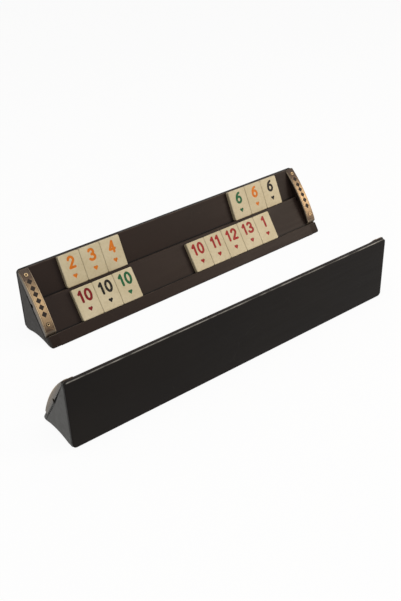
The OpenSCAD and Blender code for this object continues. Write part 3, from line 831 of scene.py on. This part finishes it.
def brass_finish():
    """Brass: brushed along the strip, darker to both ends, dark in the pressed lozenges, with a
    painted highlight along the rim and painted shade round the eyelets and down their wells.
    """
    tree, shader, finish = new_finish("brass_strip", Metallic=0.3, IOR=1.5,
                                      Specular_IOR_Level=0.35)
    where = on_object(tree)
    brush = brushing(tree, 0.04, 2600)
    cloud = noise(tree, where, 90, 4.0)
    marks = scratches(tree, where, 70, 0.008)
    # darker towards both ends, with some random variation
    toned = math(tree, "ADD", mark(tree, "tone").outputs["Fac"],
                 spread(tree, cloud, 0.3, 0.7, -0.15, 0.15))
    colour = mix(tree, toned, srgb(*BRASS[0]), srgb(*BRASS[1]))
    colour = mix(tree, math(tree, "MULTIPLY", marks, 0.35), colour, srgb(*BRASS[0]))
    # painted highlight: a bright line along the strip's rim, weaker where the strip is darker
    edge = spread(tree, mark(tree, "rim").outputs["Fac"], 0.5 * MM, 0.2 * MM, 0.0, 0.8)
    edge = math(tree, "MULTIPLY", edge, spread(tree, toned, 0.2, 1.0, 1.0, 0.25))
    colour = mix(tree, edge, colour, srgb(*BRASS[3]))
    colour = mix(tree, mark(tree, "soot").outputs["Fac"], colour, srgb(*SOOT))
    # dark fill of the lozenges and border, and painted shade round the eyelets and down their wells
    ink = spread(tree, mark(tree, "ink").outputs["Fac"], 0.06 * MM, -0.06 * MM)
    chips = spread(tree, noise(tree, where, 900, 2.0), 0.22, 0.32, 0.6, 1)
    ink = math(tree, "MULTIPLY", ink, chips)
    tree.links.new(mix(tree, ink, colour, srgb(*BRASS[2])), shader.inputs["Base Color"])
    rough = spread(tree, brush, 0.3, 0.7, 0.36, 0.48)
    tree.links.new(math(tree, "ADD", rough, math(tree, "MULTIPLY", ink, 0.25)),
                   shader.inputs["Roughness"])
    bump = relief(tree, brush, 0.005 * MM)
    tree.links.new(relief(tree, cloud, 0.015 * MM, bump), shader.inputs["Normal"])
    return finish


foot_angle = np.arctan2(*(arc_foot - arc_centre)[::-1]) - STRIP_FOOT_MARGIN / ARC_RADIUS
top_angle = np.arctan2(*(arc_top - arc_centre)[::-1]) + STRIP_MARGIN / ARC_RADIUS
strip_length = (foot_angle - top_angle) * ARC_RADIUS
strip_width = END_WIDTH - 2 * STRIP_MARGIN
strip, strip_faces, rim_gap = slab(
    strip_width, strip_length, STRIP_THICKNESS, STRIP_CORNER, STRIP_RIM, STRIP_STEP)
eyelet_rows = np.array([-1, 1]) * (strip_length / 2 - EYELET_INSET)
lozenge_rows = eyelet_rows[1] + (eyelet_rows[0] - eyelet_rows[1]) * np.array(LOZENGES)
u, v = strip[:, :1], strip[:, 1:2]
lozenge = (abs(u) / LOZENGE_HALF[0] + abs(v - lozenge_rows) / LOZENGE_HALF[1]).min(1) - 1
lozenge = lozenge * LOZENGE_HALF[0] * 0.75
hole = np.hypot(u, v - eyelet_rows).min(1)
on_face = strip[:, 2] > -1e-6
strip[:, 2] -= on_face * (
    PRESSED * fade(lozenge, PRESS_RAMP / 2, PRESS_RAMP) + WELL * fade(hole, WELL_RADIUS, WELL_RAMP))
border = abs(abs(strip[:, 0]) - BORDER_MIDDLE) - BORDER_HALF
border = np.where(abs(strip[:, 1]) < strip_length / 2 - BORDER_STOP, border, 1)
strip[:, 2] -= on_face * 0.5 * PRESSED * fade(border, BORDER_RAMP / 2, BORDER_RAMP)
# painted shade: the fill also darkens a ring round each eyelet's edge and the well's bottom seen
# down each bore
shade = abs(hole - EYELET_RADIUS) - SHADE_HALF
ink = np.where(on_face, np.minimum(np.minimum(lozenge, hole - WELL_INK),
                                   np.minimum(border, shade)), 1.0) * MM
off_middle = abs(strip[:, 1] - TONE_MIDDLE * strip_length)
tone = np.clip(off_middle / (TONE_REACH * strip_length), 0, TONE_MOST) ** TONE_CURVE
# darker towards the strip's top end
strip_soot = STRIP_SOOT * fade(strip_length / 2 - strip[:, 1], *STRIP_SOOT_DOWN)
lie = strip * MM
brass = brass_finish()
for rack in RACKS:
    for end, side in ENDS:
        points = strip + [side * (RACK_HALF - END_WIDTH / 2), 0, 0]
        new_piece(
            "brass_strip_" + rack + "_" + end,
            stand_on_rack(on_arc(points, foot_angle, strip_length), rack), strip_faces, brass,
            rack, "brass_strip", [rack + "_name_strip_" + end], lie=lie, ink=ink, tone=tone,
            rim=rim_gap * MM, soot=strip_soot)

# Eyelets: hollow brass pins with a rolled flange, pressed through strip, cover and cheek near
# both ends of each strip; painted shade darkens the bores, and the flanges darken towards their
# rims.
EYELET_STEPS, EYELET_LIP = 48, 0.45
RIM_GRIME, RIM_GRIME_FROM, RIM_GRIME_OVER = 0.75, 1.45, 0.3
EYELET_BRASS = ((190, 162, 122), (26, 20, 16))


def eyelet_profile():
    """Closed outline of radius and height.

    It goes round the flange's roll, over the lip, down the bore and up the barrel.
    """
    roll = np.radians(np.linspace(-60, 90, 9))
    lip = np.radians(np.linspace(90, 175, 8))
    r, h = EYELET_FLANGE * 0.5, EYELET_FLANGE * 0.5
    outer = np.stack([EYELET_RADIUS - r + r * np.cos(roll), h + h * np.sin(roll)], 1)
    inner = np.stack([EYELET_BORE + EYELET_LIP + EYELET_LIP * np.cos(lip),
                      h * 0.1 + h * 1.9 * np.sin(lip)], 1)
    rest = np.array([
        [EYELET_BORE, -0.1], [EYELET_BORE, -EYELET_DEPTH + 0.1], [EYELET_BORE + 0.1, -EYELET_DEPTH],
        [EYELET_BARREL, -EYELET_DEPTH + 0.05], [EYELET_BARREL, 0.02]])
    return np.concatenate([outer, inner, rest])


def eyelet_finish():
    """Bright brass with a turned sheen, painted shade in the bore, and darker towards the outer
    rim.
    """
    tree, shader, finish = new_finish("eyelet_brass", Metallic=0.7, IOR=1.6)
    where = on_object(tree)
    cloud = noise(tree, where, 500, 3.0)
    grime = math(tree, "ADD", mark(tree, "grime").outputs["Fac"],
                 spread(tree, cloud, 0.3, 0.7, -0.08, 0.12))
    tree.links.new(mix(tree, grime, srgb(*EYELET_BRASS[0]), srgb(*EYELET_BRASS[1])),
                   shader.inputs["Base Color"])
    tree.links.new(spread(tree, cloud, 0.3, 0.7, 0.22, 0.38), shader.inputs["Roughness"])
    tree.links.new(relief(tree, noise(tree, where, 2500, 1.0), 0.006 * MM), shader.inputs["Normal"])
    return finish


profile = eyelet_profile()
turn = np.linspace(0, 2 * np.pi, EYELET_STEPS, endpoint=False)
ring = np.stack([
    np.cos(turn)[:, None] * profile[:, 0], np.sin(turn)[:, None] * profile[:, 0],
    np.broadcast_to(profile[:, 1], (EYELET_STEPS, len(profile)))], -1)
i, j = np.meshgrid(np.arange(EYELET_STEPS), np.arange(len(profile)), indexing="ij")
n = len(profile)
ring_quads = np.stack([i * n + j, (i + 1) % EYELET_STEPS * n + j,
                       (i + 1) % EYELET_STEPS * n + (j + 1) % n, i * n + (j + 1) % n],
                      -1).reshape(-1, 4)
pair = np.concatenate([ring.reshape(-1, 3) + [0, row, 0] for row in eyelet_rows])
pair_faces = [np.concatenate([ring_quads, ring_quads + ring.shape[0] * n])]
pair_radius = np.tile(np.broadcast_to(profile[:, 0], (EYELET_STEPS, n)).ravel(), 2)
# painted shade down the bore, and darker towards the flange's outer rim
grime = np.maximum(np.clip(0.1 - pair[:, 2] / 0.25, 0, 1),
                   RIM_GRIME * np.clip((pair_radius - RIM_GRIME_FROM) / RIM_GRIME_OVER, 0, 1))
eyelet_brass = eyelet_finish()
for rack in RACKS:
    for end, side in ENDS:
        points = pair + [side * (RACK_HALF - END_WIDTH / 2), 0, 0]
        new_piece(
            "eyelet_pair_" + rack + "_" + end,
            stand_on_rack(on_arc(points, foot_angle, strip_length), rack), pair_faces,
            eyelet_brass, rack, "eyelet_brass", [rack + "_eyelets_" + end], grime=grime)

# Tiles: cream plastic blocks with rounded rims that lie on the tiers, their numbers and hearts
# sunk into the face and filled with paint, and painted shade on their sides.
TILE_WIDTH, TILE_HEIGHT, TILE_THICKNESS = 25.0, 34.5, 5.3
TILE_CORNER, TILE_RIM, TILE_CHAMFER, TILE_STEP = 1.5, 0.9, 0.4, 0.2
TILE_PITCH, TILE_SEAT = 25.15, 0.05
UPPER_FOOT, UPPER_SLOPE = np.array([36.1075, 38.4799]), 65.0
# tier, place of the first tile's left side along the rack, and the tiles
GROUPS = (
    ("upper", -148.5, ("orange_2", "orange_3", "orange_4")),
    ("lower", -148.5, ("maroon_10", "black_10", "green_10")),
    ("lower", 2.0, ("red_10", "red_11", "red_12", "red_13", "red_1")),
    ("upper", 82.0, ("green_6", "orange_6", "black_6")))
DIGIT_WIDTH, DIGIT_HEIGHT, STROKE = 8.9, 14.0, 2.8
DIGIT_TOP, DIGIT_GAP = 0.09, 2.2
SINGLE_MIDDLE, DOUBLE_MIDDLE = 0.51, 0.505
ONE_WIDTH = 0.38
HEART_HALF, HEART_MIDDLE = 2.6, (0.505, 0.73)
SUNK, SUNK_RAMP = 0.30, 0.35
CREAM = ((205, 193, 163), (194, 181, 149), (158, 140, 108))
TILE_SHADE = (132, 116, 90)
INKS = {
    "orange": ((214, 122, 36), (196, 104, 28)), "maroon": ((128, 22, 28), (108, 18, 24)),
    "black": ((26, 22, 18), (18, 16, 14)), "green": ((26, 98, 60), (20, 82, 48)),
    "red": ((158, 22, 24), (136, 18, 20))}


def bow(cx, cy, rx, ry, start, end, count=20):
    """Part of an ellipse, from one angle to another in degrees."""
    t = np.radians(np.linspace(start, end, count))
    return [(cx + rx * np.cos(a), cy + ry * np.sin(a)) for a in t]


DIGITS = {
    "0": [bow(0.5, 0.5, 0.5, 0.5, 0, 360, 40)],
    "1": [[(0.0, 0.78), (ONE_WIDTH, 1.0), (ONE_WIDTH, 0.0)]],
    "2": [bow(0.5, 0.72, 0.48, 0.28, 165, -35) + [(0.03, 0.0), (1.0, 0.0)]],
    "3": [bow(0.46, 0.755, 0.44, 0.245, 150, -90), bow(0.46, 0.255, 0.54, 0.255, 90, -150)],
    "4": [[(0.74, 0.0), (0.74, 1.0), (0.0, 0.28), (1.0, 0.28)]],
    "6": [bow(0.95, 0.33, 0.95, 0.67, 98, 180), bow(0.5, 0.31, 0.5, 0.31, 0, 360, 40)],
}


def line_gap(u, v, line):
    """Distance of each point from a broken line: the least of those from its pieces."""
    a, b = np.array(line[:-1]), np.array(line[1:])
    d = b - a
    w = np.stack([u, v], -1)[:, None, :] - a
    share = np.clip((w * d).sum(-1) / np.maximum((d * d).sum(-1), 1e-9), 0, 1)
    return np.hypot(*np.moveaxis(w - share[..., None] * d, -1, 0)).min(1)


def number_gap(u, v, number):
    """Distance from the strokes of a number, in mm, less than 0 on them."""
    wide, high = DIGIT_WIDTH - STROKE, DIGIT_HEIGHT - STROKE
    widths = [ONE_WIDTH * wide if digit == "1" else wide for digit in number]
    total = sum(widths) + (len(number) - 1) * (DIGIT_GAP + STROKE)
    middle = SINGLE_MIDDLE if len(number) == 1 else DOUBLE_MIDDLE
    left = middle * TILE_WIDTH - total / 2
    foot = TILE_HEIGHT * (1 - DIGIT_TOP) - STROKE / 2 - high
    gap = np.full(len(u), 99.0)
    for digit, width in zip(number, widths):
        for line in DIGITS[digit]:
            placed = [(left + x * wide, foot + y * high) for x, y in line]
            gap = np.minimum(gap, line_gap(u, v, placed) - STROKE / 2)
        left += width + DIGIT_GAP + STROKE
    return gap


def heart_gap(u, v):
    """Distance from a small heart: two round lobes over a point, in mm, less than 0 inside."""
    x = abs(u - HEART_MIDDLE[0] * TILE_WIDTH) / HEART_HALF
    y = (v - (1 - HEART_MIDDLE[1]) * TILE_HEIGHT) / HEART_HALF
    lobe = np.hypot(x - 0.47, y - 0.42) - 0.53
    wedge = np.maximum(0.78 * x - 0.63 * (y + 0.95), y - 0.42)
    wedge = np.maximum(wedge, x - 1)
    return np.minimum(lobe, wedge) * HEART_HALF


def tile_finish(name, inks):
    """Cream plastic, faintly mottled, grimy at the rim, with worn paint in the sunk marks and
    painted shade on the sides.
    """
    tree, shader, finish = new_finish("cream_tile_" + name, IOR=1.5, Specular_IOR_Level=0.15)
    where = on_object(tree)
    cloud, mottle = noise(tree, where, 45, 3.0), noise(tree, where, 420, 3.0)
    marks = scratches(tree, where, 90, 0.006)
    colour = mix(tree, spread(tree, cloud, 0.3, 0.7), srgb(*CREAM[0]), srgb(*CREAM[1]))
    colour = mix(tree, spread(tree, mottle, 0.45, 0.75, 0, 0.22), colour, srgb(*CREAM[2]))
    rim = spread(tree, mark(tree, "rim").outputs["Fac"], 0.9 * MM, 0.1 * MM)
    patches = spread(tree, noise(tree, where, 200, 3.0), 0.35, 0.7, 0.0, 0.12)
    grime = math(tree, "MULTIPLY", rim, patches)
    colour = mix(tree, math(tree, "MAXIMUM", grime, math(tree, "MULTIPLY", marks, 0.15)), colour,
                 srgb(*CREAM[2]))
    # painted shade: the sides darken with depth below the face
    below = spread(tree, mark(tree, "below").outputs["Fac"], 0.3 * MM, 2.0 * MM, 0.0, 0.6)
    colour = mix(tree, below, colour, srgb(*TILE_SHADE))
    ink = spread(tree, mark(tree, "ink").outputs["Fac"], 0.05 * MM, -0.05 * MM)
    chips = spread(tree, noise(tree, where, 1100, 2.0), 0.24, 0.32, 0.2, 1)
    ink = math(tree, "MULTIPLY", ink, chips)
    paint = mix(tree, spread(tree, noise(tree, where, 300, 2.0), 0.3, 0.7),
                srgb(*inks[0]), srgb(*inks[1]))
    tree.links.new(mix(tree, ink, colour, paint), shader.inputs["Base Color"])
    rough = spread(tree, mottle, 0.3, 0.7, 0.34, 0.46)
    rough = math(tree, "ADD", rough, math(tree, "MULTIPLY", marks, 0.12))
    tree.links.new(math(tree, "SUBTRACT", rough, math(tree, "MULTIPLY", ink, 0.06)),
                   shader.inputs["Roughness"])
    bump = relief(tree, noise(tree, where, 1800, 1.0), 0.008 * MM)
    bump = relief(tree, mottle, 0.015 * MM, bump)
    tree.links.new(relief(tree, math(tree, "SUBTRACT", 1.0, marks), 0.012 * MM, bump),
                   shader.inputs["Normal"])
    return finish


blank, tile_faces, tile_rim_gap = slab(
    TILE_WIDTH, TILE_HEIGHT, TILE_THICKNESS, TILE_CORNER, TILE_RIM, TILE_STEP, TILE_CHAMFER)
finishes = {name: tile_finish(name, inks) for name, inks in INKS.items()}
on_face = blank[:, 2] > -1e-6
u, v = blank[:, 0] + TILE_WIDTH / 2, blank[:, 1] + TILE_HEIGHT / 2
heart = heart_gap(u, v)
for tier, first, names in GROUPS:
    foot, slope = (LOWER_FOOT, TIER_SLOPE) if tier == "lower" else (UPPER_FOOT, UPPER_SLOPE)
    up, out = heading(slope), heading(slope + 90)
    for place, name in enumerate(names):
        colour, number = name.split("_")
        gap = np.where(on_face, np.minimum(number_gap(u, v, number), heart), 9.0)
        outward = TILE_THICKNESS + blank[:, 2] - SUNK * fade(gap, SUNK_RAMP / 2, SUNK_RAMP)
        section = foot + (v + TILE_SEAT)[:, None] * up + (outward + TILE_SEAT)[:, None] * out
        points = np.concatenate([(first + place * TILE_PITCH + u)[:, None], section], 1)
        node = "tile_" + name
        new_piece(
            "cream_" + node, stand_on_rack(points, "rack_1"), tile_faces, finishes[colour],
            node, "cream_tile", [node], ink=gap * MM, rim=tile_rim_gap * MM,
            below=-blank[:, 2] * MM)
